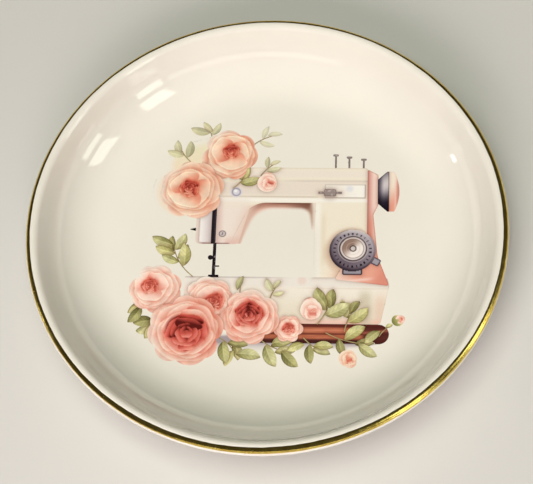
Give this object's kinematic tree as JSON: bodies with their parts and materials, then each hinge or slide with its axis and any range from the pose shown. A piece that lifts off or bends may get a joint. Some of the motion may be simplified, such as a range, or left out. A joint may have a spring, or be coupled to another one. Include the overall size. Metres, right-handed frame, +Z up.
{
  "type": "round porcelain trinket dish",
  "caption": "Round glazed porcelain trinket dish with a rolled gilt lip, a foot ring and a printed sewing machine with roses in its well; holds pins or small things.",
  "frame": {"origin": "centre of the foot ring's rest face, on the table", "axes": "+Z up along the dish's axis of turning, +Y towards the top of the printed picture, +X to its right"},
  "size_m": [0.1, 0.1, 0.0166],
  "materials": {
    "porcelain": "unglazed fired porcelain, fine matt, seen only on the foot ring",
    "glaze": "clear high gloss glaze over warm white porcelain",
    "gilt": "bright fired gold line, brushed on by hand",
    "ink_cream": "fired overglaze ink, glossy",
    "ink_pink": "fired overglaze ink, glossy",
    "ink_rose": "fired overglaze ink, glossy",
    "ink_bud": "fired overglaze ink, glossy",
    "ink_leaf": "fired overglaze ink, glossy",
    "ink_stem": "fired overglaze ink, glossy",
    "ink_grey": "fired overglaze ink, glossy",
    "ink_silver_grey": "fired overglaze ink, glossy",
    "ink_black": "fired overglaze ink, glossy",
    "ink_wash": "thin fired overglaze wash that fades to the white of the dish, glossy",
    "ink_brown": "fired overglaze ink, glossy"
  },
  "bodies": {
    "root": {"dish_body": "porcelain", "gilt_rim_line": "gilt", "glaze_coat": "glaze", "print_arch_shade": "ink_pink", "print_bud_arm": "ink_bud", "print_bud_bed": "ink_bud", "print_bud_low": "ink_bud", "print_bud_right": "ink_bud", "print_dial_cap": "ink_silver_grey", "print_dial_ring": "ink_grey", "print_foot_lifter": "ink_cream", "print_handwheel_hub": "ink_black", "print_handwheel_rim": "ink_pink", "print_head_plate": "ink_cream", "print_leaves_arm": "ink_leaf", "print_leaves_arm_tip": "ink_leaf", "print_leaves_bed_front": "ink_leaf", "print_leaves_bed_left": "ink_leaf", "print_leaves_bed_middle": "ink_leaf", "print_leaves_bed_right": "ink_leaf", "print_leaves_bottom": "ink_leaf", "print_leaves_bottom_left": "ink_leaf", "print_leaves_bottom_right": "ink_leaf", "print_leaves_far_left": "ink_leaf", "print_leaves_low_left": "ink_leaf", "print_leaves_right": "ink_leaf", "print_leaves_sprig": "ink_leaf", "print_leaves_top": "ink_leaf", "print_leaves_top_left": "ink_leaf", "print_leaves_top_right": "ink_leaf", "print_leaves_wood": "ink_leaf", "print_lever": "ink_silver_grey", "print_machine_bed": "ink_cream", "print_machine_body": "ink_cream", "print_machine_side": "ink_pink", "print_needle_bar": "ink_black", "print_peach_wash": "ink_wash", "print_rose_large": "ink_rose", "print_rose_left": "ink_rose", "print_rose_middle": "ink_rose", "print_rose_rear": "ink_rose", "print_rose_small": "ink_rose", "print_rose_upper_front": "ink_rose", "print_rose_upper_rear": "ink_rose", "print_shadow_wash": "ink_wash", "print_stems": "ink_stem", "print_thread_pins": "ink_silver_grey", "print_wooden_base": "ink_brown", "underside_glaze": "glaze"}
  },
  "joints": []
}
